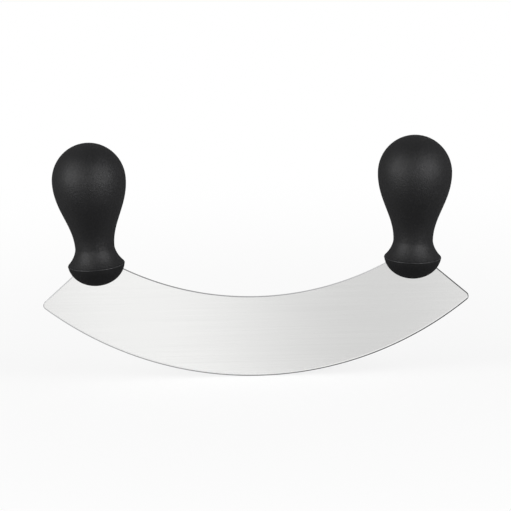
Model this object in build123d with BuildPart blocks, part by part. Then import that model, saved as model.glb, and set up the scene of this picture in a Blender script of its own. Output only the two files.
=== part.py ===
from build123d import *
import os
from math import cos, radians, sin, sqrt, tan

# A mezzaluna: a crescent of stainless sheet that rocks on its curved cutting edge,
# with a pear-shaped grip on each horn.
#
# Millimetres. +X runs along the blade, +Y through its thickness, +Z up to the grips.
# The origin is the lowest point of the cutting edge, midway between the two sides.

# Blade
EDGE_RADIUS = 206.5  # the cutting edge, one true arc so that the knife rocks evenly
SPINE_RADIUS = 174.2  # the hollow upper edge
BLADE_DEPTH = 50.0  # from cutting edge to spine at the middle
BLADE_THICKNESS = 2.0
TIP_REACH = 131.4  # from the middle to each tip, before the tip is rounded
END_CUT_ANGLE = 48.6  # the straight cut from tip to grip, measured from the vertical
TIP_ROUND = 3.0
BEVEL_WIDTH = 1.5  # each side of the ground edge
EDGE_LAND = 0.1  # thickness left at the very edge
EDGE_BREAK = 0.3  # sharp corners of the sheet taken off, all but the ground one

# Grips, measured up and down their own axes from the plane of the rim
BALL_RADIUS = 22.5
BALL_HEIGHT = 52.0  # rim to the widest part of the ball
CROWN_HEIGHT = 23.0  # widest part to the top
NECK_RADIUS = 12.0
NECK_HEIGHT = 10.3  # rim to the narrowest part of the neck
BALL_FULLNESS = 16.8  # how far the flank keeps the ball's width on its way down
NECK_FULLNESS = 15.2  # how far the flank keeps the neck's width on its way up
RIM_RADIUS = 17.4  # the collar's upper edge
RIM_LEDGE = 0.3  # the collar stands out past the soft cover by this much
RIM_LAND = 0.7  # upright band at the foot of the flared skirt
SKIRT_FLARE = 4.4  # run and rise of the skirt where it meets the rim
SKIRT_FULLNESS = 1.0  # how far the skirt keeps the neck's width on its way down
COLLAR_DEPTH = 13.3  # rim to the bottom of the domed collar
COLLAR_TAPER = 0.8  # lean of the dome's side just under the rim
FOOT_ROUND = 0.5  # rounded foot of the soft cover, above the seam at the rim
SEAM_ROUND = 0.5  # rounded edge of the collar, below that seam

# How each grip stands on its horn
SPLAY = 2.8  # each grip leans outwards by this angle
HORN_ABOVE_RIM = 5.9  # where the horn's sharp corner would come if it weren't cut off
HORN_INBOARD = 0.9  # that corner, inboard of the grip's axis

# Inside the grips
SHOULDER_DROP = 2.5  # the horn is cut off square this far under the rim
GRIP_WALL = 4.0  # soft cover over the rigid core
CORE_CHEEK = 1.9  # core left beside the tang at the neck
TANG_TOP = 44.0  # rim to the end of the tang
PIN_DIAMETER = 4.0
PIN_CHAMFER = 0.4
PIN_INSET = 1.0  # each pin's ends lie this far inside the core's neck
LOWER_PIN_HEIGHT = 14.0
UPPER_PIN_HEIGHT = 32.0
KEY_HEIGHT = 3.0  # boss on the collar that locates the core
KEY_WALL = 2.0  # boss round the tang
LOCK_RING_WIDTH = 3.0  # rings on the core that hold the soft cover
LOCK_RING_HEIGHT = 1.2
LOCK_RING_LEVELS = (0.0, 9.0)  # above the widest part of the ball

# Clearances
SLOT_GAP = 0.1  # blade and tang in the slots they slide into, each side
FIT_GAP = 0.05  # pins in their holes, boss in its socket, cover on core

# Worked out from the sizes above
HALF_THICKNESS = BLADE_THICKNESS / 2
SLOT_HALF_THICKNESS = HALF_THICKNESS + SLOT_GAP
CORE_NECK_RADIUS = NECK_RADIUS - GRIP_WALL
TANG_WIDTH = 2 * (CORE_NECK_RADIUS - CORE_CHEEK)
KEY_LENGTH = TANG_WIDTH + 2 * KEY_WALL
KEY_WIDTH = BLADE_THICKNESS + 2 * KEY_WALL
PIN_LENGTH = 2 * (CORE_NECK_RADIUS - PIN_INSET)
PIN_HOLE_RADIUS = PIN_DIAMETER / 2 + FIT_GAP
TIP_HEIGHT = EDGE_RADIUS - sqrt(EDGE_RADIUS**2 - TIP_REACH**2)
SPINE_CENTRE = BLADE_DEPTH + SPINE_RADIUS

QUARTER_ROUND = 0.5523  # a curve whose handles are this long is a quarter of an ellipse


def horn_corner():
    """Where the end cut, running up and inwards from the tip, would meet the spine."""
    run, rise = sin(radians(END_CUT_ANGLE)), cos(radians(END_CUT_ANGLE))
    below = TIP_HEIGHT - SPINE_CENTRE
    middle = TIP_REACH * run - below * rise
    apart = TIP_REACH**2 + below**2 - SPINE_RADIUS**2
    length = middle - sqrt(middle**2 - apart)
    return TIP_REACH - length * run, TIP_HEIGHT + length * rise


def grip_place(side):
    """The centre of a grip's rim on the blade's middle plane, turned to the grip's lean.

    side is 1 for the right grip and -1 for the left.
    """
    corner_x, corner_z = horn_corner()
    run, rise = sin(radians(SPLAY)), cos(radians(SPLAY))
    rim_x = corner_x - HORN_ABOVE_RIM * run + HORN_INBOARD * rise
    rim_z = corner_z - HORN_ABOVE_RIM * rise - HORN_INBOARD * run
    return Location((side * rim_x, rim_z, 0), (0, 0, -side * SPLAY))


def crescent(gap=0):
    """The blade's outline with sharp tips and horns, grown all round by gap."""
    slope = tan(radians(END_CUT_ANGLE))
    apex = TIP_HEIGHT + TIP_REACH / slope + gap / sin(radians(END_CUT_ANGLE))
    with BuildSketch() as outline:
        with Locations((0, EDGE_RADIUS)):
            Circle(EDGE_RADIUS + gap)
        with Locations((0, SPINE_CENTRE)):
            Circle(SPINE_RADIUS - gap, mode=Mode.SUBTRACT)
        with BuildLine():
            foot = (apex + gap) * slope
            Polyline((0, apex), (foot, -gap), (-foot, -gap), close=True)
        make_face(mode=Mode.INTERSECT)
    return outline.sketch


def above_shoulder(side, gap=0):
    """All of the blade's plane above a horn's square shoulder, well past the collar."""
    with BuildSketch() as cutter:
        with Locations(grip_place(side)):
            with Locations((0, gap - SHOULDER_DROP)):
                size = 4 * RIM_RADIUS
                Rectangle(size, size, align=(Align.CENTER, Align.MIN))
    return cutter.sketch


def tang_outline(top, gap=0):
    """The tang from its shoulder up to a level above the rim, grown sideways by gap."""
    with BuildSketch() as tang:
        with Locations((0, -SHOULDER_DROP)):
            Rectangle(
                TANG_WIDTH + 2 * gap, top + SHOULDER_DROP, align=(Align.CENTER, Align.MIN)
            )
    return tang.sketch


def pin_outlines(radius):
    with BuildSketch() as pins:
        with Locations((0, LOWER_PIN_HEIGHT), (0, UPPER_PIN_HEIGHT)):
            Circle(radius)
    return pins.sketch


def pear_section(inset=0):
    """Half section of a grip from rim to crown, drawn inset inside its skin."""
    ball = BALL_RADIUS - inset
    crown = CROWN_HEIGHT - inset
    neck = NECK_RADIUS - inset
    rim = RIM_RADIUS - RIM_LEDGE - inset
    with BuildSketch() as section:
        with BuildLine():
            Bezier(
                (0, BALL_HEIGHT + crown),
                (ball * QUARTER_ROUND, BALL_HEIGHT + crown),
                (ball, BALL_HEIGHT + crown * QUARTER_ROUND),
                (ball, BALL_HEIGHT),
            )
            Bezier(
                (ball, BALL_HEIGHT),
                (ball, BALL_HEIGHT - BALL_FULLNESS),
                (neck, NECK_HEIGHT + NECK_FULLNESS),
                (neck, NECK_HEIGHT),
            )
            Bezier(
                (neck, NECK_HEIGHT),
                (neck, NECK_HEIGHT - SKIRT_FULLNESS),
                (rim - SKIRT_FLARE, RIM_LAND + SKIRT_FLARE),
                (rim, RIM_LAND),
            )
            Polyline((rim, RIM_LAND), (rim, 0), (0, 0), (0, BALL_HEIGHT + crown))
        make_face()
    return section.sketch


def lock_ring_sections(gap=0):
    """Half sections of the rings that stand round the core's ball, grown by gap."""
    ball = BALL_RADIUS - GRIP_WALL
    crown = CROWN_HEIGHT - GRIP_WALL
    with BuildSketch() as rings:
        for level in LOCK_RING_LEVELS:
            radius = ball * sqrt(1 - (level / crown) ** 2)
            with Locations((radius, BALL_HEIGHT + level)):
                Rectangle(2 * (LOCK_RING_HEIGHT + gap), LOCK_RING_WIDTH + 2 * gap)
    return rings.sketch


os.makedirs("parts", exist_ok=True)

# The blade: crescent, square shoulders, and a tang rising into each grip.
with BuildPart() as blade:
    with BuildSketch(Plane.XZ) as outline:
        add(crescent())
        for side in (-1, 1):
            add(above_shoulder(side), mode=Mode.SUBTRACT)
        tips = outline.vertices().sort_by(Axis.X)
        fillet([tips[0], tips[-1]], TIP_ROUND)
    extrude(amount=HALF_THICKNESS, both=True)
    for side in (-1, 1):
        with BuildSketch(Plane(Plane.XZ.location * grip_place(side))) as tang:
            add(tang_outline(TANG_TOP))
            fillet(tang.vertices().group_by(Axis.Y)[-1], TANG_WIDTH / 4)
            add(pin_outlines(PIN_HOLE_RADIUS), mode=Mode.SUBTRACT)
        extrude(amount=HALF_THICKNESS, both=True)
    chamfer(blade.faces().filter_by(Axis.Y).edges(), EDGE_BREAK)
    # The ground bevel is the same wedge turned about the cutting edge's centre.
    with BuildSketch(Plane.YZ) as wedges:
        for face in (-1, 1):
            with BuildLine():
                Polyline(
                    (face * EDGE_LAND / 2, 0),
                    (face * HALF_THICKNESS, BEVEL_WIDTH),
                    (face * BLADE_THICKNESS, BEVEL_WIDTH),
                    (face * BLADE_THICKNESS, -BEVEL_WIDTH),
                    (face * EDGE_LAND / 2, -BEVEL_WIDTH),
                    close=True,
                )
            make_face()
    revolve(axis=Axis((0, 0, EDGE_RADIUS), (0, 1, 0)), mode=Mode.SUBTRACT)
blade.part.label = "blade"
export_step(blade.part, "parts/blade.step")

# What stands on the left horn repeats on the right one.
for side, name in ((-1, "left"), (1, "right")):
    # Local X of the upright plane is the grip's radius and local Y its axis.
    upright = Plane(Plane.XZ.location * grip_place(side))
    rim_plane = Plane(upright.origin, x_dir=upright.x_dir, z_dir=upright.y_dir)
    axis = Axis(upright.origin, upright.y_dir)

    # The collar: a half dome that straddles the horn and closes over its shoulder,
    # with a boss round the tang that keeps the core from turning.
    with BuildPart() as collar:
        with BuildSketch(upright):
            with BuildLine():
                Bezier(
                    (0, -COLLAR_DEPTH),
                    (RIM_RADIUS * QUARTER_ROUND, -COLLAR_DEPTH),
                    (RIM_RADIUS - COLLAR_TAPER, -COLLAR_DEPTH * QUARTER_ROUND),
                    (RIM_RADIUS, 0),
                )
                Polyline((RIM_RADIUS, 0), (0, 0), (0, -COLLAR_DEPTH))
            make_face()
        revolve(axis=axis)
        fillet(collar.faces().sort_by(axis)[-1].edges(), SEAM_ROUND)
        with BuildSketch(rim_plane):
            SlotOverall(KEY_LENGTH, KEY_WIDTH)
        extrude(amount=KEY_HEIGHT)
        with BuildSketch(Plane.XZ):
            add(crescent(SLOT_GAP))
            add(above_shoulder(side, SLOT_GAP), mode=Mode.SUBTRACT)
        extrude(amount=SLOT_HALF_THICKNESS, both=True, mode=Mode.SUBTRACT)
        with BuildSketch(upright):
            add(tang_outline(TANG_TOP, SLOT_GAP))
        extrude(amount=SLOT_HALF_THICKNESS, both=True, mode=Mode.SUBTRACT)
    collar.part.label = f"{name}_collar"
    export_step(collar.part, f"parts/{name}_collar.step")

    # The core: a rigid moulding that takes the tang, the boss and both pins.
    with BuildPart() as core:
        with BuildSketch(upright):
            add(pear_section(GRIP_WALL))
            add(lock_ring_sections())
        revolve(axis=axis)
        with BuildSketch(rim_plane):
            SlotOverall(KEY_LENGTH + 2 * FIT_GAP, KEY_WIDTH + 2 * FIT_GAP)
        extrude(amount=KEY_HEIGHT + FIT_GAP, mode=Mode.SUBTRACT)
        with BuildSketch(upright):
            add(tang_outline(TANG_TOP + SLOT_GAP, SLOT_GAP))
        extrude(amount=SLOT_HALF_THICKNESS, both=True, mode=Mode.SUBTRACT)
        with BuildSketch(upright):
            add(pin_outlines(PIN_HOLE_RADIUS))
        extrude(amount=BALL_RADIUS, both=True, mode=Mode.SUBTRACT)
    core.part.label = f"{name}_core"
    export_step(core.part, f"parts/{name}_core.step")

    # The grip: the soft pear-shaped cover moulded over the core.
    with BuildPart() as grip:
        with BuildSketch(upright) as wall:
            add(pear_section())
            add(pear_section(GRIP_WALL - FIT_GAP), mode=Mode.SUBTRACT)
            add(lock_ring_sections(FIT_GAP), mode=Mode.SUBTRACT)
            foot = wall.vertices().group_by(Axis.Y)[0].sort_by(Axis.X)[-1]
            fillet(foot, FOOT_ROUND)
        revolve(axis=axis)
    grip.part.label = f"{name}_grip"
    export_step(grip.part, f"parts/{name}_grip.step")

    # The pins: two dowels through core and tang, buried under the soft cover.
    for level, height in (("lower", LOWER_PIN_HEIGHT), ("upper", UPPER_PIN_HEIGHT)):
        with BuildPart() as pin:
            with BuildSketch(upright):
                with Locations((0, height)):
                    Circle(PIN_DIAMETER / 2)
            extrude(amount=PIN_LENGTH / 2, both=True)
            chamfer(pin.edges().filter_by(GeomType.CIRCLE), PIN_CHAMFER)
        pin.part.label = f"{name}_{level}_pin"
        export_step(pin.part, f"parts/{name}_{level}_pin.step")
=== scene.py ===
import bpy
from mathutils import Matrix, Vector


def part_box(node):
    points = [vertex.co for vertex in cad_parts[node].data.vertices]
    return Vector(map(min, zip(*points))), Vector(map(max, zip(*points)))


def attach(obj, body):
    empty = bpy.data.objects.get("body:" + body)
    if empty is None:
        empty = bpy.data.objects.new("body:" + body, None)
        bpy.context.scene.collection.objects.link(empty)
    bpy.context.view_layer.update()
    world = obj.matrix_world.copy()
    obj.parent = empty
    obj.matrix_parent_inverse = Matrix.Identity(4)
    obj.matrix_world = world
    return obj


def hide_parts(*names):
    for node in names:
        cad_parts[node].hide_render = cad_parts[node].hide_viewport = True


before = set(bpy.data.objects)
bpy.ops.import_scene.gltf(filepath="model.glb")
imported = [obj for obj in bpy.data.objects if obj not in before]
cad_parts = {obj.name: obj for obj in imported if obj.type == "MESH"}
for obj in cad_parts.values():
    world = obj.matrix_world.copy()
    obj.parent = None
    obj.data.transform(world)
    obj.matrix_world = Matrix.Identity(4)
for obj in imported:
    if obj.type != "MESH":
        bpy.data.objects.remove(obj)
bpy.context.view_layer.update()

import math

import bmesh
import bpy
from bpy.props import FloatProperty, FloatVectorProperty, PointerProperty
from mathutils import Matrix, Vector
from mathutils.geometry import interpolate_bezier

bl_info = {
    "name": "Mezzaluna",
    "version": (1, 0, 0),
    "blender": (4, 5, 0),
    "location": "View3D > Sidebar > Mezzaluna",
    "description": "A half-moon chopping knife with two pear-shaped grips, and its studio",
    "category": "Object",
}

MM = 0.001
SIDES = ((-1, "left"), (1, "right"))

# How finely the round forms are cut. The photograph shows about 0.6 mm to a pixel.
CURVE_STEPS = 24
TURN_STEPS = 112
ARC_STEPS = 150
CORNER_STEPS = 6
TIP_FACETS = 10
BOSS_STEPS = 24
PIN_STEPS = 32
FLOOR_STEPS = 64
SHARP_ANGLE = math.radians(24)
MERGE_DISTANCE = 1e-7
QUARTER_ROUND = 0.5523  # handles of this length bend a curve into a quarter of an ellipse
PAST_TIPS = 1.1  # the sheet is swept this much further than its tips, then cut back

# How squarely a face of the blade looks along Y, or an edge runs along it, from 0 to 1.
FLAT_SIDE = 0.999  # the two brushed sides
OUTER_SIDE = 0.85  # those sides and the ground bevels, but not the honed line
GROUND_BEVEL = 0.8  # the ground bevels, but not the broken corners beside them
CUT_FACE = 0.01  # less than this: the end cuts, tips, shoulders and tangs' edges
THROUGH_SHEET = 0.9  # an edge that goes from one side of the sheet to the other

WAVE_UNIT = 20  # a wave texture at scale 1 turns through this angle in one metre
NOISE_LOW, NOISE_HIGH = 0.3, 0.7  # a noise texture seldom leaves this range

# The studio: distances in metres, angles in degrees, seen from the knife.
LAMP_WIDTH, LAMP_LENGTH = 1.4, 2.6
LAMP_TARGET = 90 * MM  # the height that all lamps face
SOFTBOXES = (("left", -61, 35), ("right", 62, -35))  # azimuth and tilt
SOFTBOX_ELEVATION, SOFTBOX_DISTANCE = 20.5, 2.1
CATCH_LIGHTS = (("left", -53, 35), ("right", 43, -35))  # azimuth and tilt
CATCH_ELEVATION, CATCH_DISTANCE = 15.0, 2.0
SENSOR_WIDTH = 36  # in millimetres, as Blender takes it
FARTHEST_SEEN = 20
FLOOR_REACH = 6.0
FADE_START, FADE_END = 0.1, 0.6  # the floor fades to white between these distances
WHITE_NEAR, WHITE_FAR = 0.75, 1.0  # share of plain white at each of them


def linear(code):
    """An sRGB hex colour as scene-linear red, green and blue."""
    channels = [int(code[i : i + 2], 16) / 255 for i in (1, 3, 5)]
    return [c / 12.92 if c <= 0.04045 else ((c + 0.055) / 1.055) ** 2.4 for c in channels]


def length(name, millimetres, description):
    """A length, given in millimetres and kept in metres."""
    return FloatProperty(
        name=name, description=description, default=millimetres * MM, min=0, unit="LENGTH"
    )


def angle(name, degrees, description):
    """An angle, given in degrees and kept in radians."""
    return FloatProperty(
        name=name, description=description, default=math.radians(degrees), subtype="ANGLE"
    )


def number(name, value, description, unit="NONE"):
    """A number of any other kind, with its unit where it has one."""
    return FloatProperty(name=name, description=description, default=value, min=0, unit=unit)


def colour(name, code, description):
    """A colour, given as sRGB hex and kept as scene-linear."""
    return FloatVectorProperty(
        name=name,
        description=description,
        default=linear(code),
        size=3,
        min=0,
        max=1,
        subtype="COLOR",
    )


BLADE_LOW, BLADE_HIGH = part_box("blade")


class BladeSettings(bpy.types.PropertyGroup):
    """The steel sheet: a crescent between two arcs, cut straight at both ends."""

    edge_radius: length("Edge radius", 206.5, "Radius of the cutting edge")
    spine_radius: length("Spine radius", 174.2, "Radius of the hollow upper edge")
    depth: length("Depth", 50.0, "From cutting edge to spine at the middle")
    thickness: length("Thickness", (BLADE_HIGH.y - BLADE_LOW.y) / MM, "Thickness of the sheet")
    tip_reach: length("Tip reach", 131.4, "From the middle to each tip, before it is rounded")
    end_cut: angle("End cut", 48.6, "The straight cut from tip to grip, from the vertical")
    tip_round: length("Tip round", 3.0, "Radius of the rounded tips")
    bevel_width: length("Bevel width", 1.5, "Width of the ground bevel on each side")
    edge_land: length("Edge land", 0.1, "Thickness left at the very edge")
    honed_width: length("Honed width", 0.72, "Width of the steeper honed line along the edge")
    honed_thickness: length("Honed thickness", 1.2, "Thickness of the sheet above the honed line")
    edge_break: length("Edge break", 0.3, "Sharp corners taken off the hollow upper edge")
    end_break: length("End break", 0.45, "Sharp corners taken off the end cuts and tips")
    sheet: colour("Sheet", "#E6E6E5", "Brushed faces of the sheet")
    ground: colour("Ground bevel", "#EEEEED", "Freshly ground cutting bevel")
    # The broken-edge colour is partly the dull edges' own grey and partly a painted dark
    # reflection along the outline.
    rim: colour("Broken edge", "#8E8E8F", "Dull broken edges round the outline")


class GripSettings(bpy.types.PropertyGroup):
    """One grip and its collar, measured along their own axis from the plane of the rim."""

    ball_radius: length("Ball radius", 22.5, "Radius of the ball at its widest")
    ball_height: length("Ball height", 52.0, "Rim to the widest part of the ball")
    crown_height: length("Crown height", 23.0, "Widest part of the ball to the top")
    neck_radius: length("Neck radius", 12.0, "Radius of the neck at its narrowest")
    neck_height: length("Neck height", 10.3, "Rim to the narrowest part of the neck")
    ball_fullness: length("Ball fullness", 16.8, "How far the flank keeps the ball's width")
    neck_fullness: length("Neck fullness", 15.2, "How far the flank keeps the neck's width")
    rim_radius: length("Rim radius", 17.4, "Radius of the collar's upper edge")
    rim_ledge: length("Rim ledge", 0.3, "How far the collar stands out past the cover")
    rim_land: length("Rim land", 0.3, "Upright band at the foot of the skirt")
    skirt_flare: length("Skirt flare", 4.4, "Run and rise of the skirt at the rim")
    skirt_fullness: length("Skirt fullness", 1.0, "How far the skirt keeps the neck's width")
    foot_round: length("Foot round", 0.3, "Rounded foot of the cover")
    collar_depth: length("Collar depth", 13.3, "Rim to the bottom of the domed collar")
    collar_taper: length("Collar taper", 0.8, "Lean of the dome's side just under the rim")
    seam_round: length("Seam round", 0.5, "Rounded upper edge of the collar")
    splay: angle("Splay", 2.8, "Each grip leans outwards by this angle")
    horn_above_rim: length("Horn above rim", 5.9, "Where the uncut horn's corner would come")
    horn_inboard: length("Horn inboard", 0.9, "That corner, inboard of the grip's axis")
    wall: length("Cover wall", 3.95, "Soft cover, less its clearance on the core")
    shoulder_drop: length("Shoulder drop", 2.5, "The horn is cut square this far under the rim")
    tang_width: length("Tang width", 12.2, "Width of the tang inside the grip")
    tang_top: length("Tang top", 44.0, "Rim to the end of the tang")
    slot_gap: length("Slot gap", 0.1, "Clearance of blade and tang in the collar's slot")
    pin_radius: length("Pin hole radius", 2.05, "Holes in the tang for the hidden pins")
    lower_pin: length("Lower pin", 14.0, "Rim to the lower pin")
    upper_pin: length("Upper pin", 32.0, "Rim to the upper pin")
    boss_length: length("Boss length", 16.2, "Locating boss on top of the collar")
    boss_width: length("Boss width", 6.0, "Width of that boss")
    boss_height: length("Boss height", 3.0, "Height of that boss")
    ring_width: length("Ring width", 3.1, "Grooves in the cover for the core's rings")
    ring_height: length("Ring height", 1.25, "Depth of those grooves")
    ring_spacing: length("Ring spacing", 9.0, "From the lower groove to the upper one")
    cover: colour("Soft cover", "#0F0F10", "Soft-touch cover")
    collar: colour("Collar", "#0A0A0B", "Hard plastic of the collar")
    # The seam colour, lighter than the collar's, is a painted highlight along the collar's rounded
    # upper edge.
    seam: colour("Seam", "#262627", "Collar's upper edge, greyed by rubbing")


class StudioSettings(bpy.types.PropertyGroup):
    """Camera, lamps, floor and surrounding light."""

    azimuth: angle("Camera azimuth", 2.0, "Camera round the object, from the front to the right")
    elevation: angle("Camera elevation", 13.0, "Camera above the horizon")
    roll: angle("Camera roll", 1.8, "The object appears turned anticlockwise by this angle")
    distance: length("Camera distance", 2500, "From the point that the camera looks at")
    lens: number("Lens", 289.5, "Focal length for a 36 mm wide sensor", "CAMERA")
    aim_height: length("Aim height", 75.57, "Height that the camera looks at")
    aim_right: length("Aim right", 0.82, "How far right of the middle the camera looks")
    lamp_power: number("Softbox power", 30.0, "Power of each softbox", "POWER")
    catch_power: number("Catch light power", 340.0, "Power of each lamp for gloss alone", "POWER")
    ambient: number("Ambient", 0.45, "Strength of the surrounding light on the object")
    floor: colour("Floor", "#F8F8F8", "Pale floor")


def placed(settings, side):
    """The grip's own frame: origin at the rim's centre, Z up the grip, X to the right."""
    blade = bpy.context.scene.mezzaluna_blade
    # The uncut horn's corner lies where the end cut meets the spine's arc.
    low_z = tip_height(blade)
    run, rise = math.sin(blade.end_cut), math.cos(blade.end_cut)
    below = low_z - blade.depth - blade.spine_radius
    middle = blade.tip_reach * run - below * rise
    apart = blade.tip_reach**2 + below**2 - blade.spine_radius**2
    reach = middle - math.sqrt(middle**2 - apart)
    corner_x, corner_z = blade.tip_reach - reach * run, low_z + reach * rise
    lean_x, lean_z = math.sin(settings.splay), math.cos(settings.splay)
    rim_x = corner_x - settings.horn_above_rim * lean_x + settings.horn_inboard * lean_z
    rim_z = corner_z - settings.horn_above_rim * lean_z - settings.horn_inboard * lean_x
    lean = Matrix.Rotation(side * settings.splay, 4, "Y")
    return Matrix.Translation((side * rim_x, 0, rim_z)) @ lean


def tip_height(blade):
    """Height of the uncut tips on the arc of the cutting edge."""
    return blade.edge_radius - math.sqrt(blade.edge_radius**2 - blade.tip_reach**2)


def curve(*corners):
    """Points along a Bezier curve given in a (radius, height) plane, both ends included."""
    return [p.xy for p in interpolate_bezier(*(Vector((*c, 0)) for c in corners), CURVE_STEPS)]


def arc(centre, radius, start, end):
    """Points along a circular arc in a (radius, height) plane, from start to end degrees."""
    turns = [
        math.radians(start + (end - start) * i / CORNER_STEPS) for i in range(CORNER_STEPS + 1)
    ]
    return [Vector(centre) + radius * Vector((math.cos(t), math.sin(t))) for t in turns]


def turned(points, closed=False):
    """A solid of revolution about Z from a half section of (radius, height) points."""
    bm = bmesh.new()
    verts = [bm.verts.new((r, 0, h)) for r, h in points]
    for a, b in zip(verts, verts[1:]):
        bm.edges.new((a, b))
    if closed:
        bm.edges.new((verts[-1], verts[0]))
    bmesh.ops.spin(
        bm,
        geom=bm.verts[:] + bm.edges[:],
        cent=(0, 0, 0),
        axis=(0, 0, 1),
        angle=math.tau,
        steps=TURN_STEPS,
        use_merge=True,
    )
    bmesh.ops.remove_doubles(bm, verts=bm.verts, dist=MERGE_DISTANCE)
    bmesh.ops.recalc_face_normals(bm, faces=bm.faces)
    return bm


def slice_off(bm, point, normal):
    """Takes away what lies beyond a plane and closes the cut with one face."""
    cut = bmesh.ops.bisect_plane(
        bm,
        geom=bm.verts[:] + bm.edges[:] + bm.faces[:],
        dist=MERGE_DISTANCE,
        plane_co=point,
        plane_no=normal,
        clear_outer=True,
    )
    rim = [e for e in cut["geom_cut"] if isinstance(e, bmesh.types.BMEdge)]
    return bmesh.ops.holes_fill(bm, edges=rim)["faces"]


def combined(body, tool, operation):
    """Cuts a tool shape from a body, or joins it on, with Blender's exact boolean."""
    pair = []
    for bm, name in ((body, "body"), (tool, "tool")):
        bmesh.ops.recalc_face_normals(bm, faces=bm.faces)
        mesh = bpy.data.meshes.new(name)
        bm.to_mesh(mesh)
        bm.free()
        pair.append(bpy.data.objects.new(name, mesh))
        bpy.context.scene.collection.objects.link(pair[-1])
    modifier = pair[0].modifiers.new("combine", "BOOLEAN")
    modifier.object = pair[1]
    modifier.operation = operation
    modifier.solver = "EXACT"
    result = bmesh.new()
    result.from_object(pair[0], bpy.context.evaluated_depsgraph_get())
    for obj in pair:
        mesh = obj.data
        bpy.data.objects.remove(obj)
        bpy.data.meshes.remove(mesh)
    if not result.faces:
        raise RuntimeError("a boolean left nothing behind")
    return result


def crescent(blade, grip, section, gap=0.0):
    """The sheet bent from a section, cut at both ends, with a tang rising from each horn.

    section lists (half thickness, height above the edge) points up one side of the sheet.
    """
    bm = bmesh.new()
    outline = [(y, z) for y, z in section] + [(-y, z) for y, z in reversed(section)]
    verts = [bm.verts.new((0, y, z)) for y, z in outline]
    for a, b in zip(verts, verts[1:] + verts[:1]):
        bm.edges.new((a, b))
    centre = Vector((0, 0, blade.edge_radius))
    sweep = PAST_TIPS * math.asin(blade.tip_reach / blade.edge_radius)
    bmesh.ops.rotate(bm, verts=bm.verts, cent=centre, matrix=Matrix.Rotation(-sweep, 3, "Y"))
    bmesh.ops.spin(
        bm,
        geom=bm.verts[:] + bm.edges[:],
        cent=centre,
        axis=(0, 1, 0),
        angle=2 * sweep,
        steps=ARC_STEPS,
    )
    fit_spine(bm, blade, gap)
    for side, _ in SIDES:
        end_normal = Vector((side * math.cos(blade.end_cut), 0, math.sin(blade.end_cut)))
        tip = Vector((side * blade.tip_reach, 0, tip_height(blade)))
        slice_off(bm, tip + gap * end_normal, end_normal)
        if not gap:
            round_tip(bm, blade, tip, end_normal)
    for side, _ in SIDES:
        add_tang(bm, grip, placed(grip, side), gap)
    bmesh.ops.recalc_face_normals(bm, faces=bm.faces)
    return bm


def fit_spine(bm, blade, gap):
    """Slides the sheet's upper points along their rays from the edge's centre to the spine arc."""
    centre = Vector((0, 0, blade.edge_radius))
    rise = blade.edge_radius - blade.depth - blade.spine_radius
    half = blade.thickness / 2
    for v in bm.verts:
        ray = Vector((v.co.x, 0, v.co.z)) - centre
        if ray.length > blade.edge_radius - blade.depth / 2:
            continue
        ray.normalize()
        on_face = not gap and abs(v.co.y) > half - blade.edge_break / 2
        radius = blade.spine_radius - gap + (blade.edge_break if on_face else 0)
        across = rise * ray.z
        reach = math.sqrt(across**2 - rise**2 + radius**2) - across
        v.co = centre + ray * reach + Vector((0, v.co.y, 0))


def round_tip(bm, blade, tip, end_normal):
    """Rounds a tip with flats that touch a circle between the end cut and the cutting edge."""
    centre = Vector((0, 0, blade.edge_radius))
    along = Vector((-end_normal.z * math.copysign(1, tip.x), 0, abs(end_normal.x)))
    start = tip - blade.tip_round * end_normal - centre
    inner = blade.edge_radius - blade.tip_round
    half = start.dot(along)
    reach = -half + math.sqrt(half**2 - start.length_squared + inner**2)
    other = -half - math.sqrt(half**2 - start.length_squared + inner**2)
    reach = min(reach, other, key=abs)
    middle = centre + start + along * reach
    edge_normal = (middle - centre).normalized()
    for i in range(1, TIP_FACETS):
        normal = end_normal.slerp(edge_normal, i / TIP_FACETS)
        slice_off(bm, middle + normal * blade.tip_round, normal)


def add_tang(bm, grip, place, gap):
    """Cuts a horn off square under the rim and draws the tang up from the cut."""
    axis = place.to_3x3() @ Vector((0, 0, 1))
    across = place.to_3x3() @ Vector((1, 0, 0))
    shoulder = place @ Vector((0, 0, gap - grip.shoulder_drop))
    top = slice_off(bm, shoulder, axis)
    for way in (-1, 1):
        cap = [f for f in top if f.is_valid]
        parts = {part for f in cap for part in (*f.verts, *f.edges, f)}
        cut = bmesh.ops.bisect_plane(
            bm,
            geom=list(parts),
            dist=MERGE_DISTANCE,
            plane_co=shoulder + way * across * (grip.tang_width / 2 + gap),
            plane_no=across,
        )
        top = [f for f in cut["geom"] if isinstance(f, bmesh.types.BMFace)]
    foot = min(top, key=lambda f: (f.calc_center_median() - shoulder).length)
    tang = bmesh.ops.extrude_discrete_faces(bm, faces=[foot])["faces"][0]
    rise = grip.tang_top + grip.shoulder_drop
    bmesh.ops.translate(bm, verts=tang.verts, vec=axis * rise)
    runs = {e: (e.verts[0].co - e.verts[1].co).normalized() for e in tang.edges}
    corners = [e for e, run in runs.items() if abs(run.y) > THROUGH_SHEET]
    bmesh.ops.bevel(
        bm,
        geom=corners,
        offset=grip.tang_width / 4,
        offset_type="OFFSET",
        affect="EDGES",
        segments=CORNER_STEPS,
        profile=0.5,
        material=-1,
    )


def finished(bm, name, materials, node):
    """Makes a piece of the shape, rides it on the root body and lets it stand for its CAD node."""
    bmesh.ops.remove_doubles(bm, verts=bm.verts, dist=MERGE_DISTANCE)
    bmesh.ops.recalc_face_normals(bm, faces=bm.faces)
    for face in bm.faces:
        face.smooth = True
    for edge in bm.edges:
        edge.smooth = edge.calc_face_angle(math.pi) < SHARP_ANGLE
    mesh = bpy.data.meshes.new(name)
    bm.to_mesh(mesh)
    bm.free()
    piece = bpy.data.objects.new(name, mesh)
    bpy.context.scene.collection.objects.link(piece)
    for material in materials:
        mesh.materials.append(material)
    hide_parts(node)
    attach(piece, "root")


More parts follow.
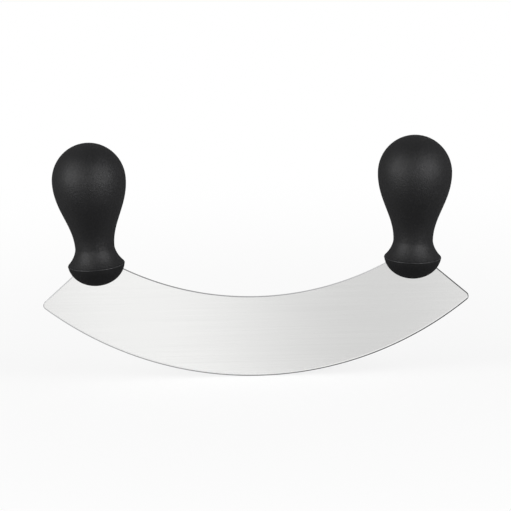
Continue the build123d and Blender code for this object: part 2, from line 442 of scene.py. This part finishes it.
def add_node(tree, kind, values=None, **settings):
    """Adds a node. values are numbers, colours or other nodes' outputs for its inputs."""
    node = tree.nodes.new(kind)
    for name, value in settings.items():
        setattr(node, name, value)
    for name, value in (values or {}).items():
        if isinstance(value, bpy.types.NodeSocket):
            tree.links.new(value, node.inputs[name])
        else:
            node.inputs[name].default_value = value
    return node


def new_material(name):
    """An empty node material with its shader and the surface's object coordinates."""
    material = bpy.data.materials.new(name)
    material.use_nodes = True
    tree = material.node_tree
    tree.nodes.clear()
    shader = add_node(tree, "ShaderNodeBsdfPrincipled")
    add_node(tree, "ShaderNodeOutputMaterial", {"Surface": shader.outputs["BSDF"]})
    coordinates = add_node(tree, "ShaderNodeTexCoord").outputs["Object"]
    return material, tree, shader, coordinates


def rgba(rgb, level=1.0):
    """A colour times a level, with no part over 1, as a socket takes it."""
    return (*(min(1.0, c * level) for c in rgb), 1.0)


def brushed_sheet(blade):
    """Stainless sheet, belt-ground lengthwise to a satin: fine long lines, and a soft pale band of
    painted reflection, lighter left of the middle and darker right of it.

    The real lines are about 0.1 mm wide. They are drawn at 0.8 mm, the finest that shows.
    """
    material, tree, shader, place = new_material("brushed_stainless")
    # The pale band is painted reflection: a broad swell of lighter and darker tone along the
    # sheet, standing in for the brighter and darker surroundings that it mirrors.
    reflection_band_length, painted_reflection_peak = 292 * MM, -70 * MM
    line_length, line_width, line_depth = 110 * MM, 0.8 * MM, 0.02 * MM
    line_tone, line_bump = 0.08, 0.08
    dark, pale = rgba(blade.sheet, 0.86), rgba(blade.sheet, 1.15)
    smoothest, roughest = 0.18, 0.26
    painted_reflection = add_node(
        tree,
        "ShaderNodeTexWave",
        {
            "Vector": place,
            "Scale": math.tau / WAVE_UNIT / reflection_band_length,
            "Phase Offset": math.pi - math.tau * painted_reflection_peak / reflection_band_length,
            "Distortion": 0.0,
        },
        wave_type="BANDS",
        bands_direction="X",
        wave_profile="SIN",
    )
    stretched = add_node(
        tree,
        "ShaderNodeMapping",
        {"Vector": place, "Scale": (1 / line_length, 1 / line_width, 1 / line_width)},
    )
    lines = add_node(
        tree,
        "ShaderNodeTexNoise",
        {"Vector": stretched.outputs["Vector"], "Scale": 1.0, "Detail": 3.0, "Roughness": 0.6},
    )
    tone = add_node(
        tree,
        "ShaderNodeMapRange",
        {
            "Value": lines.outputs["Fac"],
            "From Min": NOISE_LOW,
            "From Max": NOISE_HIGH,
            "To Min": -line_tone,
            "To Max": line_tone,
        },
    )
    # The sheet's tone: the band's painted reflection, plus the random tone of the brush lines.
    level = add_node(
        tree,
        "ShaderNodeMath",
        {0: painted_reflection.outputs["Fac"], 1: tone.outputs["Result"]},
        operation="ADD",
    )
    base = add_node(
        tree,
        "ShaderNodeMix",
        {"Factor": level.outputs["Value"], 6: dark, 7: pale},
        data_type="RGBA",
    )
    rough = add_node(
        tree,
        "ShaderNodeMapRange",
        {
            "Value": lines.outputs["Fac"],
            "From Min": NOISE_LOW,
            "From Max": NOISE_HIGH,
            "To Min": smoothest,
            "To Max": roughest,
        },
    )
    bump = add_node(
        tree,
        "ShaderNodeBump",
        {"Height": lines.outputs["Fac"], "Strength": line_bump, "Distance": line_depth},
    )
    tree.links.new(base.outputs[2], shader.inputs["Base Color"])
    tree.links.new(rough.outputs["Result"], shader.inputs["Roughness"])
    tree.links.new(bump.outputs["Normal"], shader.inputs["Normal"])
    shader.inputs["Metallic"].default_value = 1.0
    return material


def ground_bevel(blade):
    """The cutting bevel, wet-ground on a wheel: bright, with short lines square to the edge.

    The wheel's real lines are under 0.1 mm wide. They are drawn at 0.7 mm, so that they show.
    """
    material, tree, shader, place = new_material("ground_cutting_bevel")
    line_width = 0.7 * MM
    dark, pale = rgba(blade.ground, 0.8), rgba(blade.ground, 1.2)
    parts = add_node(tree, "ShaderNodeSeparateXYZ", {"Vector": place})
    drop = add_node(
        tree,
        "ShaderNodeMath",
        {0: blade.edge_radius, 1: parts.outputs["Z"]},
        operation="SUBTRACT",
    )
    turn = add_node(
        tree,
        "ShaderNodeMath",
        {0: parts.outputs["X"], 1: drop.outputs["Value"]},
        operation="ARCTAN2",
    )
    along = add_node(
        tree,
        "ShaderNodeMath",
        {0: turn.outputs["Value"], 1: blade.edge_radius / line_width},
        operation="MULTIPLY",
    )
    lines = add_node(
        tree,
        "ShaderNodeTexNoise",
        {"W": along.outputs["Value"], "Scale": 1.0, "Detail": 2.0},
        noise_dimensions="1D",
    )
    base = add_node(
        tree,
        "ShaderNodeMix",
        {"Factor": lines.outputs["Fac"], 6: dark, 7: pale},
        data_type="RGBA",
    )
    tree.links.new(base.outputs[2], shader.inputs["Base Color"])
    shader.inputs["Metallic"].default_value = 1.0
    shader.inputs["Roughness"].default_value = 0.32
    return material


def dull_rim_painted_shade(blade, name, start, painted_shade_by_facing, painted_shade_by_place):
    """The sheet's cut rim, dulled by tumbling, mottled at random, with painted light and shade.

    The tone runs from 0, dark, to 1, bright. It is start where the surface is neither turned nor
    off the middle; a painted shade by facing adds to it along the way the surface faces, and a
    painted shade by place over each metre.
    """
    material, tree, shader, place = new_material(name)
    patch, patch_tone = 6 * MM, 0.15
    dark, pale = rgba(blade.rim, 0.15), rgba(blade.rim, 2.0)
    mottle = add_node(
        tree, "ShaderNodeTexNoise", {"Vector": place, "Scale": 1 / patch, "Detail": 4.0}
    )
    spots = add_node(
        tree,
        "ShaderNodeMapRange",
        {
            "Value": mottle.outputs["Fac"],
            "To Min": start - patch_tone,
            "To Max": start + patch_tone,
        },
    )
    # Painted light and shade: the tone rises and falls with the way the surface faces and where it
    # lies along the sheet.
    facing = add_node(tree, "ShaderNodeTexCoord").outputs["Normal"]
    facing_painted_shade = add_node(
        tree, "ShaderNodeVectorMath", {0: facing, 1: painted_shade_by_facing}, operation="DOT_PRODUCT"
    )
    place_painted_shade = add_node(
        tree, "ShaderNodeVectorMath", {0: place, 1: painted_shade_by_place}, operation="DOT_PRODUCT"
    )
    painted_shade = add_node(
        tree,
        "ShaderNodeMath",
        {0: facing_painted_shade.outputs["Value"], 1: place_painted_shade.outputs["Value"]},
        operation="ADD",
    )
    level = add_node(
        tree,
        "ShaderNodeMath",
        {0: spots.outputs["Result"], 1: painted_shade.outputs["Value"]},
        operation="ADD",
    )
    base = add_node(
        tree,
        "ShaderNodeMix",
        {"Factor": level.outputs["Value"], 6: dark, 7: pale},
        data_type="RGBA",
    )
    tree.links.new(base.outputs[2], shader.inputs["Base Color"])
    shader.inputs["Metallic"].default_value = 1.0
    shader.inputs["Roughness"].default_value = 0.42
    return material


def broken_edge(blade):
    """The two long arcs, their corners broken by tumbling, with painted light: brighter where they
    face left or up, and towards the left.
    """
    return dull_rim_painted_shade(
        blade,
        "tumbled_sheet_edge_painted_shade",
        start=0.45,
        painted_shade_by_facing=(-1.0, 0.0, 0.18),
        painted_shade_by_place=(-1.0, 0.0, 0.0),
    )


def sheared_end(blade):
    """The end cuts and tips, sheared and left dull, with painted shade: near black on the right,
    grey on the left.
    """
    return dull_rim_painted_shade(
        blade,
        "sheared_sheet_end_painted_shade",
        start=0.2,
        painted_shade_by_facing=(0.0, 0.0, 0.0),
        painted_shade_by_place=(-1.9, 0.0, 0.0),
    )


def black_plastic(name, rgb, grain, relief, roughness, gloss):
    """Black moulded plastic with the fine spark-eroded grain of its mould.

    grain is the size of a grain and relief its height, both in metres. The tone varies by grain
    and by cloud, and averages a little over the colour itself. It is at its glossiest where it
    faces the eye and dulls where it turns away, as a matt moulding does.
    """
    material, tree, shader, place = new_material(name)
    cloud = 14 * MM
    least_tone, grain_tone, cloud_tone = 0.225, 0.55, 0.35
    dark, pale = rgba(rgb, 0.55), rgba(rgb, 1.35)
    starts_dulling, fully_dulled = 0.2, 0.8
    grain_roughness, dulled_roughness = 0.16, 0.9
    grain_bump = 0.5
    speckle = add_node(
        tree,
        "ShaderNodeTexNoise",
        {"Vector": place, "Scale": 1 / grain, "Detail": 3.0, "Roughness": 0.65},
    )
    flow = add_node(
        tree, "ShaderNodeTexNoise", {"Vector": place, "Scale": 1 / cloud, "Detail": 2.0}
    )
    mixed = add_node(
        tree,
        "ShaderNodeMath",
        {0: speckle.outputs["Fac"], 1: grain_tone, 2: least_tone},
        operation="MULTIPLY_ADD",
    )
    blend = add_node(
        tree,
        "ShaderNodeMath",
        {0: flow.outputs["Fac"], 1: cloud_tone, 2: mixed.outputs["Value"]},
        operation="MULTIPLY_ADD",
    )
    base = add_node(
        tree,
        "ShaderNodeMix",
        {"Factor": blend.outputs["Value"], 6: dark, 7: pale},
        data_type="RGBA",
    )
    facing = add_node(tree, "ShaderNodeLayerWeight", {"Blend": 0.5}).outputs["Facing"]
    dulled = add_node(
        tree,
        "ShaderNodeMapRange",
        {
            "Value": facing,
            "From Min": starts_dulling,
            "From Max": fully_dulled,
            "To Min": roughness - grain_roughness / 2,
            "To Max": dulled_roughness,
        },
    )
    rough = add_node(
        tree,
        "ShaderNodeMath",
        {0: speckle.outputs["Fac"], 1: grain_roughness, 2: dulled.outputs["Result"]},
        operation="MULTIPLY_ADD",
    )
    bump = add_node(
        tree,
        "ShaderNodeBump",
        {"Height": speckle.outputs["Fac"], "Strength": grain_bump, "Distance": relief},
    )
    tree.links.new(base.outputs[2], shader.inputs["Base Color"])
    tree.links.new(rough.outputs["Value"], shader.inputs["Roughness"])
    tree.links.new(bump.outputs["Normal"], shader.inputs["Normal"])
    shader.inputs["Specular IOR Level"].default_value = gloss
    shader.distribution = "GGX"
    return material


def soft_cover(grip):
    """Thermoplastic elastomer, moulded over the core: matt, faintly rubbery, with an even grain.

    The real grain is about 0.1 mm. It is drawn at 0.9 mm, the finest that shows in the picture.
    """
    return black_plastic(
        "soft_touch_elastomer",
        grip.cover,
        grain=0.9 * MM,
        relief=0.6 * MM,
        roughness=0.55,
        gloss=0.05,
    )


def collar_plastic(grip):
    """Polypropylene from a smoother mould than the cover's: a little darker, with less grain.

    Its grain too is drawn at 0.9 mm, so that it shows.
    """
    return black_plastic(
        "moulded_polypropylene",
        grip.collar,
        grain=0.9 * MM,
        relief=0.3 * MM,
        roughness=0.62,
        gloss=0.04,
    )


def seam_painted_highlight(grip):
    """The collar's rounded upper edge: the same plastic, smoother, painted lighter as a highlight
    line along the edge.
    """
    return black_plastic(
        "polypropylene_painted_highlight",
        grip.seam,
        grain=0.9 * MM,
        relief=0.02 * MM,
        roughness=0.45,
        gloss=0.04,
    )


def core_plastic(grip):
    """Glass-filled polypropylene of the hidden cores, its rough grain drawn at 1.2 mm."""
    return black_plastic(
        "glass_filled_core",
        grip.collar,
        grain=1.2 * MM,
        relief=0.06 * MM,
        roughness=0.6,
        gloss=0.4,
    )


def pin_steel(blade):
    """Centreless-ground steel dowel: fine rings round it, drawn at 0.3 mm, coarser than real."""
    material, tree, shader, place = new_material("ground_dowel_steel")
    ring = 0.3 * MM
    smoothest, roughest = 0.2, 0.34
    lines = add_node(
        tree,
        "ShaderNodeTexWave",
        {"Vector": place, "Scale": math.tau / WAVE_UNIT / ring, "Distortion": 0.5},
        wave_type="BANDS",
        bands_direction="Y",
    )
    rough = add_node(
        tree,
        "ShaderNodeMapRange",
        {"Value": lines.outputs["Fac"], "To Min": smoothest, "To Max": roughest},
    )
    tree.links.new(rough.outputs["Result"], shader.inputs["Roughness"])
    shader.inputs["Base Color"].default_value = rgba(blade.ground)
    shader.inputs["Metallic"].default_value = 1.0
    return material


class MEZZALUNA_OT_blade(bpy.types.Operator):
    """Make the crescent blade with its ground bevel, rounded tips and tangs"""

    bl_idname = "mezzaluna.blade"
    bl_label = "Blade"

    def execute(self, context):
        blade, grip = context.scene.mezzaluna_blade, context.scene.mezzaluna_grip
        half = blade.thickness / 2
        section = [
            (blade.edge_land / 2, 0),
            (blade.honed_thickness / 2, blade.honed_width),
            (half, blade.bevel_width),
            (half, blade.depth - blade.edge_break),
            (half - blade.edge_break, blade.depth),
        ]
        bm = crescent(blade, grip, section)
        break_edges(bm, blade)
        bm = combined(bm, pin_holes(grip), "DIFFERENCE")
        paint_blade(bm, blade)
        finishes = (brushed_sheet, ground_bevel, broken_edge, sheared_end)
        materials = [finish(blade) for finish in finishes]
        finished(bm, "blade_sheet", materials, "blade")
        return {"FINISHED"}


def break_edges(bm, blade):
    """Takes the sharp corners off the end cuts, tips, shoulders and tangs."""
    sharp = []
    for edge in bm.edges:
        across = sorted(abs(face.normal.y) for face in edge.link_faces)
        if len(across) == 2 and across[0] < CUT_FACE and across[1] > OUTER_SIDE:
            sharp.append(edge)
    bmesh.ops.bevel(
        bm,
        geom=sharp,
        offset=blade.end_break,
        offset_type="OFFSET",
        affect="EDGES",
        segments=1,
        profile=0.5,
        material=-1,
    )


def pin_holes(grip):
    """Round bars where the hidden pins pass through both tangs."""
    bm = bmesh.new()
    for side, _ in SIDES:
        for height in (grip.lower_pin, grip.upper_pin):
            place = placed(grip, side) @ Matrix.Translation((0, 0, height))
            bmesh.ops.create_cone(
                bm,
                cap_ends=True,
                segments=PIN_STEPS,
                radius1=grip.pin_radius,
                radius2=grip.pin_radius,
                depth=grip.tang_width,
                matrix=place @ Matrix.Rotation(math.radians(90), 4, "X"),
            )
    return bm


def paint_blade(bm, blade):
    """Gives each face the finish of its kind: brushed, ground, broken and honed, or sheared."""
    brushed, ground, broken, sheared = range(4)
    edge_centre = Vector((0, 0, blade.edge_radius))
    spine_centre = Vector((0, 0, blade.depth + blade.spine_radius))
    bm.normal_update()
    for face in bm.faces:
        middle = face.calc_center_median()
        middle.y = 0
        above_edge = blade.edge_radius - (middle - edge_centre).length
        below_spine = (middle - spine_centre).length - blade.spine_radius
        across = abs(face.normal.y)
        if across > FLAT_SIDE:
            face.material_index = brushed
        elif blade.bevel_width > above_edge > blade.honed_width and across > GROUND_BEVEL:
            face.material_index = ground
        # The honed line takes the dark edge finish too: a painted dark reflection along the
        # cutting edge, partly the dull steel's own grey.
        elif above_edge < blade.honed_width or below_spine < blade.edge_break:
            face.material_index = broken
        else:
            face.material_index = sheared


class MEZZALUNA_OT_collars(bpy.types.Operator):
    """Make the domed collars that straddle the blade's horns"""

    bl_idname = "mezzaluna.collars"
    bl_label = "Collars"

    def execute(self, context):
        blade, grip = context.scene.mezzaluna_blade, context.scene.mezzaluna_grip
        half = blade.thickness / 2 + grip.slot_gap
        slot_section = [(half, -grip.slot_gap), (half, blade.depth)]
        materials = [collar_plastic(grip), seam_painted_highlight(grip)]
        for side, name in SIDES:
            bm = combined(collar_dome(grip), collar_boss(grip), "UNION")
            for face in bm.faces:
                # Faces on the rounded upper edge take the seam's painted highlight.
                face.material_index = int(on_seam(face, grip))
            bm.transform(placed(grip, side))
            slot = crescent(blade, grip, slot_section, grip.slot_gap)
            bm = combined(bm, slot, "DIFFERENCE")
            finished(bm, f"{name}_collar_dome", materials, f"{name}_collar")
        return {"FINISHED"}


def collar_dome(grip):
    """The collar without its boss and slot: a shallow dome with a rounded upper edge."""
    radius, depth, seam = grip.rim_radius, grip.collar_depth, grip.seam_round
    bend = curve(
        (0, -depth),
        (radius * QUARTER_ROUND, -depth),
        (radius - grip.collar_taper, -depth * QUARTER_ROUND),
        (radius, 0),
    )
    below_seam = [p for p in bend if p.y < -seam]
    return turned([*below_seam, *arc((radius - seam, -seam), seam, 0, 90), (0, 0)])


def on_seam(face, grip):
    """Whether a face of the dome lies on its rounded upper edge."""
    middle = face.calc_center_median()
    return -grip.seam_round < middle.z < 0 and middle.xy.length > grip.rim_radius - grip.seam_round


def collar_boss(grip):
    """The long boss that keeps the core from turning: a circle drawn out, then raised."""
    foot = Matrix.Translation((0, 0, -grip.boss_height))
    bm = bmesh.new()
    bmesh.ops.create_circle(
        bm,
        cap_ends=True,
        segments=BOSS_STEPS,
        radius=grip.boss_width / 2,
        matrix=foot @ Matrix.Rotation(math.pi / BOSS_STEPS, 4, "Z"),
    )
    for v in bm.verts:
        v.co.x += math.copysign((grip.boss_length - grip.boss_width) / 2, v.co.x)
    top = bmesh.ops.extrude_face_region(bm, geom=bm.faces[:])["geom"]
    raised = [part for part in top if isinstance(part, bmesh.types.BMVert)]
    bmesh.ops.translate(bm, verts=raised, vec=(0, 0, 2 * grip.boss_height))
    return bm


class MEZZALUNA_OT_grips(bpy.types.Operator):
    """Make the soft pear-shaped covers of both grips"""

    bl_idname = "mezzaluna.grips"
    bl_label = "Grips"

    def execute(self, context):
        grip = context.scene.mezzaluna_grip
        material = soft_cover(grip)
        for side, name in SIDES:
            bm = cover_shell(grip)
            for level in (0, grip.ring_spacing):
                bm = combined(bm, ring_tool(grip, level), "DIFFERENCE")
            bm.transform(placed(grip, side))
            finished(bm, f"{name}_grip_cover", [material], f"{name}_grip")
        return {"FINISHED"}


def pear_curves(grip, inset=0.0):
    """Crown, flank and skirt of a grip as points from the top down, inset inside the skin."""
    ball, crown = grip.ball_radius - inset, grip.crown_height - inset
    neck, rim = grip.neck_radius - inset, grip.rim_radius - grip.rim_ledge - inset
    widest, narrowest = grip.ball_height, grip.neck_height
    round_top = curve(
        (0, widest + crown),
        (ball * QUARTER_ROUND, widest + crown),
        (ball, widest + crown * QUARTER_ROUND),
        (ball, widest),
    )
    flank = curve(
        (ball, widest),
        (ball, widest - grip.ball_fullness),
        (neck, narrowest + grip.neck_fullness),
        (neck, narrowest),
    )
    skirt = curve(
        (neck, narrowest),
        (neck, narrowest - grip.skirt_fullness),
        (rim - grip.skirt_flare, grip.rim_land + grip.skirt_flare),
        (rim, grip.rim_land),
    )
    return round_top + flank[1:] + skirt[1:]


def cover_shell(grip):
    """The hollow cover: skin down to a rounded foot, across the rim and back up inside."""
    foot, rim = grip.foot_round, grip.rim_radius - grip.rim_ledge
    outside = pear_curves(grip)
    inside = pear_curves(grip, grip.wall)
    inner_foot = (rim - grip.wall, 0)
    rounded = arc((rim - foot, foot), foot, 0, -90)
    return turned([*outside, *rounded, inner_foot, *reversed(inside)])


def ring_tool(grip, level):
    """A flat ring that cuts one of the cover's inner grooves."""
    ball, crown = grip.ball_radius - grip.wall, grip.crown_height - grip.wall
    radius = ball * math.sqrt(1 - (level / crown) ** 2)
    low, high = (grip.ball_height + level + way * grip.ring_width / 2 for way in (-1, 1))
    inner, outer = radius - grip.ring_height, radius + grip.ring_height
    return turned([(inner, low), (outer, low), (outer, high), (inner, high)], closed=True)


class MEZZALUNA_OT_hidden(bpy.types.Operator):
    """Finish the cores and pins inside the grips, which keep their own shapes"""

    bl_idname = "mezzaluna.hidden"
    bl_label = "Cores and pins"

    def execute(self, context):
        blade, grip = context.scene.mezzaluna_blade, context.scene.mezzaluna_grip
        plastic, steel = core_plastic(grip), pin_steel(blade)
        for name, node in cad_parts.items():
            if name.endswith(("_core", "_pin")):
                node.data.materials.clear()
                node.data.materials.append(plastic if name.endswith("_core") else steel)
        return {"FINISHED"}


class MEZZALUNA_OT_studio(bpy.types.Operator):
    """Set up the floor, the softboxes, the surrounding light and the camera"""

    bl_idname = "mezzaluna.studio"
    bl_label = "Studio"

    def execute(self, context):
        studio = context.scene.mezzaluna_studio
        context.scene.view_settings.view_transform = "Standard"
        lay_floor(studio)
        surround(context.scene, studio)
        black_pieces = bpy.data.collections.new("black_pieces")
        for _, name in SIDES:
            for piece in (f"{name}_grip_cover", f"{name}_collar_dome"):
                black_pieces.objects.link(bpy.data.objects[piece])
        for side, azimuth, tilt in SOFTBOXES:
            away = direction(math.radians(azimuth), math.radians(SOFTBOX_ELEVATION))
            hang_softbox(f"softbox_{side}", away * SOFTBOX_DISTANCE, tilt, studio.lamp_power)
        for side, azimuth, tilt in CATCH_LIGHTS:
            away = direction(math.radians(azimuth), math.radians(CATCH_ELEVATION))
            catch_light = hang_softbox(
                f"catch_light_{side}", away * CATCH_DISTANCE, tilt, studio.catch_power
            )
            catch_light.visible_diffuse = False
            catch_light.light_linking.receiver_collection = black_pieces
        set_camera(context.scene, studio)
        return {"FINISHED"}


def direction(azimuth, elevation):
    """From the object outwards: azimuth 0 is the front, positive to the right, in radians."""
    flat = math.cos(elevation)
    return Vector((math.sin(azimuth) * flat, -math.cos(azimuth) * flat, math.sin(elevation)))


def set_camera(scene, studio):
    """The photograph's view: from the front, a little from above, with a long lens."""
    data = bpy.data.cameras.new("photo_camera")
    data.lens = studio.lens
    data.sensor_width = SENSOR_WIDTH
    data.clip_end = FARTHEST_SEEN
    camera = bpy.data.objects.new("photo_camera", data)
    scene.collection.objects.link(camera)
    back = direction(studio.azimuth, studio.elevation)
    aim = Vector((studio.aim_right, 0, studio.aim_height))
    turn = back.to_track_quat("Z", "Y").to_matrix() @ Matrix.Rotation(-studio.roll, 3, "Z")
    camera.matrix_world = Matrix.Translation(aim + back * studio.distance) @ turn.to_4x4()
    scene.camera = camera


def hang_softbox(name, away, tilt, power):
    """A long oval softbox, away from the knife and facing it, its top tilted to the back.

    No two hang in the same plane, because there the renderer would see only one of them.
    """
    data = bpy.data.lights.new(name, "AREA")
    data.shape = "ELLIPSE"
    data.size, data.size_y = LAMP_WIDTH, LAMP_LENGTH
    data.energy = power
    lamp = bpy.data.objects.new(name, data)
    bpy.context.scene.collection.objects.link(lamp)
    target = Vector((0, 0, LAMP_TARGET))
    turn = away.to_track_quat("Z", "Y").to_matrix() @ Matrix.Rotation(math.radians(tilt), 3, "Z")
    lamp.matrix_world = Matrix.Translation(target + away) @ turn.to_4x4()
    return lamp


def seen_directly(tree):
    """1 on rays from the camera or off a shiny surface, 0 on the rays that light the object."""
    path = add_node(tree, "ShaderNodeLightPath")
    shiny = add_node(
        tree,
        "ShaderNodeMath",
        {0: path.outputs["Is Glossy Ray"], 1: path.outputs["Is Transmission Ray"]},
        operation="MAXIMUM",
    )
    return add_node(
        tree,
        "ShaderNodeMath",
        {0: path.outputs["Is Camera Ray"], 1: shiny.outputs["Value"]},
        operation="MAXIMUM",
    ).outputs["Value"]


def surround(scene, studio):
    """Soft white light from all round, which the camera and shiny surfaces see as plain white."""
    world = bpy.data.worlds.new("white_surround")
    world.use_nodes = True
    tree = world.node_tree
    tree.nodes.clear()
    strength = add_node(
        tree,
        "ShaderNodeMapRange",
        {"Value": seen_directly(tree), "To Min": studio.ambient, "To Max": 1.0},
    )
    white = add_node(
        tree,
        "ShaderNodeBackground",
        {"Color": (1, 1, 1, 1), "Strength": strength.outputs["Result"]},
    )
    add_node(tree, "ShaderNodeOutputWorld", {"Surface": white.outputs["Background"]})
    scene.world = world


def lay_floor(studio):
    """A pale sweep under the knife that fades to the white surround and keeps its soft shadow."""
    material = bpy.data.materials.new("pale_sweep")
    material.use_nodes = True
    tree = material.node_tree
    tree.nodes.clear()
    matt = add_node(tree, "ShaderNodeBsdfDiffuse", {"Color": rgba(studio.floor)})
    white = add_node(tree, "ShaderNodeEmission", {"Color": (1, 1, 1, 1), "Strength": 1.0})
    place = add_node(tree, "ShaderNodeTexCoord").outputs["Object"]
    away = add_node(tree, "ShaderNodeVectorMath", {0: place}, operation="LENGTH")
    fade = add_node(
        tree,
        "ShaderNodeMapRange",
        {
            "Value": away.outputs["Value"],
            "From Min": FADE_START,
            "From Max": FADE_END,
            "To Min": WHITE_NEAR,
            "To Max": WHITE_FAR,
        },
        interpolation_type="SMOOTHSTEP",
    )
    share = add_node(
        tree,
        "ShaderNodeMath",
        {0: fade.outputs["Result"], 1: seen_directly(tree)},
        operation="MULTIPLY",
    )
    both = add_node(
        tree,
        "ShaderNodeMixShader",
        {0: share.outputs["Value"], 1: matt.outputs["BSDF"], 2: white.outputs["Emission"]},
    )
    add_node(tree, "ShaderNodeOutputMaterial", {"Surface": both.outputs["Shader"]})
    bm = bmesh.new()
    bmesh.ops.create_circle(bm, cap_ends=True, segments=FLOOR_STEPS, radius=FLOOR_REACH)
    mesh = bpy.data.meshes.new("studio_floor")
    bm.to_mesh(mesh)
    bm.free()
    mesh.materials.append(material)
    floor = bpy.data.objects.new("studio_floor", mesh)
    bpy.context.scene.collection.objects.link(floor)


class MEZZALUNA_PT_panel(bpy.types.Panel):
    """Lists the knife's sizes and the steps that make it"""

    bl_idname = "MEZZALUNA_PT_panel"
    bl_label = "Mezzaluna"
    bl_space_type = "VIEW_3D"
    bl_region_type = "UI"
    bl_category = "Mezzaluna"

    def draw(self, context):
        for step in STEPS:
            self.layout.operator(step.bl_idname)
        for settings in (
            context.scene.mezzaluna_blade,
            context.scene.mezzaluna_grip,
            context.scene.mezzaluna_studio,
        ):
            box = self.layout.box()
            for name in settings.__annotations__:
                box.prop(settings, name)


STEPS = (
    MEZZALUNA_OT_blade,
    MEZZALUNA_OT_collars,
    MEZZALUNA_OT_grips,
    MEZZALUNA_OT_hidden,
    MEZZALUNA_OT_studio,
)
CLASSES = (BladeSettings, GripSettings, StudioSettings, *STEPS, MEZZALUNA_PT_panel)


def register():
    for cls in CLASSES:
        bpy.utils.register_class(cls)
    bpy.types.Scene.mezzaluna_blade = PointerProperty(type=BladeSettings)
    bpy.types.Scene.mezzaluna_grip = PointerProperty(type=GripSettings)
    bpy.types.Scene.mezzaluna_studio = PointerProperty(type=StudioSettings)


def unregister():
    del bpy.types.Scene.mezzaluna_blade
    del bpy.types.Scene.mezzaluna_grip
    del bpy.types.Scene.mezzaluna_studio
    for cls in reversed(CLASSES):
        bpy.utils.unregister_class(cls)


def main():
    register()
    bpy.ops.mezzaluna.blade()
    bpy.ops.mezzaluna.collars()
    bpy.ops.mezzaluna.grips()
    bpy.ops.mezzaluna.hidden()
    bpy.ops.mezzaluna.studio()


if __name__ == "__main__":
    main()
